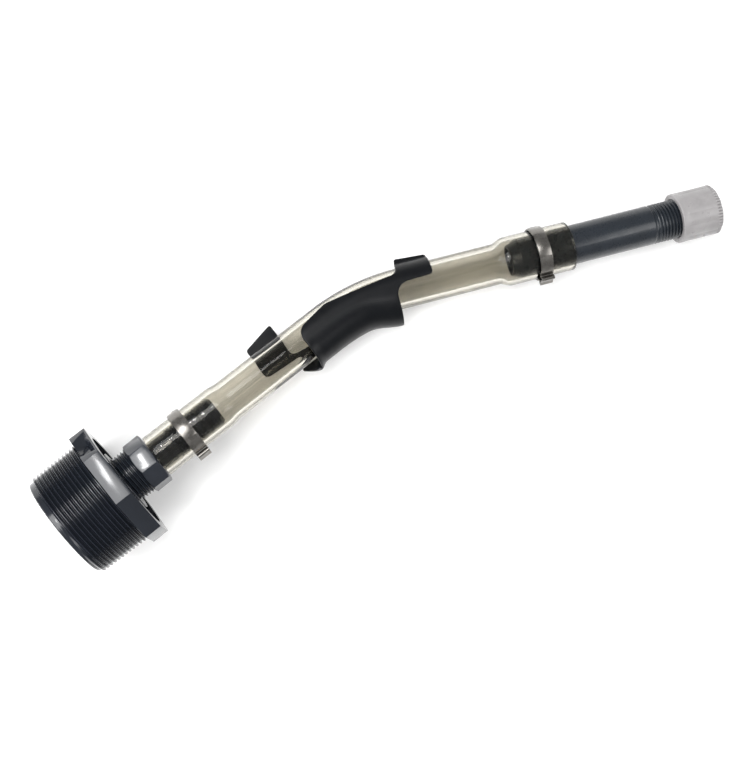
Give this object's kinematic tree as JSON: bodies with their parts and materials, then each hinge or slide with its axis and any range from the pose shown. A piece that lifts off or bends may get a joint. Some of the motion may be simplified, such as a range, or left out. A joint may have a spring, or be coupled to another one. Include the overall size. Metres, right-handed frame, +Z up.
{
  "type": "gravel vacuum siphon",
  "caption": "Hand-held siphon head: large threaded bushing and barb adapter on a clear hose held in a bend support, clamped to a threaded nipple with a screw cap.",
  "frame": {"origin": "bottom centre of the bounding box, at the table the part rests on", "axes": "+X runs from the bushing's open thread end towards the cap in plan, -Y is the side the hose bends to, +Z up from the table"},
  "size_m": [0.3846, 0.1266, 0.0679],
  "materials": {
    "grey_pvc": "semi-gloss injection-moulded grey PVC",
    "adapter_pvc": "semi-gloss injection-moulded grey PVC",
    "lower_clamp_steel": "satin stainless strip",
    "clear_vinyl": "clear extruded vinyl with a faint beige tint",
    "support_plastic": "satin black moulded plastic",
    "upper_clamp_steel": "satin stainless strip",
    "nipple_pvc": "extruded dark blue-grey PVC pipe",
    "cap_pvc": "semi-gloss light grey-white PVC",
    "washer_rubber": "matte black rubber"
  },
  "bodies": {
    "head": {"threaded_bushing": "grey_pvc", "barb_adapter": "adapter_pvc", "lower_ear_clamp": "lower_clamp_steel"},
    "hose_middle": {"clear_hose": "clear_vinyl", "bend_support": "support_plastic"},
    "nipple_end": {"upper_ear_clamp": "upper_clamp_steel", "threaded_nipple": "nipple_pvc"},
    "washer": {"cap_washer": "washer_rubber"},
    "cap": {"end_cap": "cap_pvc"}
  },
  "joints": [
    {"name": "hose_flex_lower", "type": "hinge", "parent": "head", "child": "hose_middle", "pos_m": [-0.07172, 0.0296, 0.02372], "axis": [0.1166, 0.2554, 0.9598], "range_deg": [-12, 12], "stiffness_Nm_per_rad": 1.8, "deforming": ["clear_hose"]},
    {"name": "hose_flex_upper", "type": "hinge", "parent": "hose_middle", "child": "nipple_end", "pos_m": [0.06674, 0.00111, 0.01448], "axis": [0.1166, 0.2554, 0.9598], "range_deg": [-15, 15], "stiffness_Nm_per_rad": 1.6, "deforming": ["clear_hose"]},
    {"name": "cap_travel", "type": "slide", "parent": "nipple_end", "child": "washer", "axis": [0.9174, -0.3979, -0.0056], "range_m": [0, 0.00909]},
    {"name": "cap_turn", "type": "hinge", "parent": "washer", "child": "cap", "pos_m": [0.16628, -0.04206, 0.01387], "axis": [0.9174, -0.3979, -0.0056], "range_deg": [0, 1800]}
  ],
  "couplings": [
    {"joint": "cap_travel", "follows": "cap_turn", "m_per_rad": 0.00028875}
  ]
}
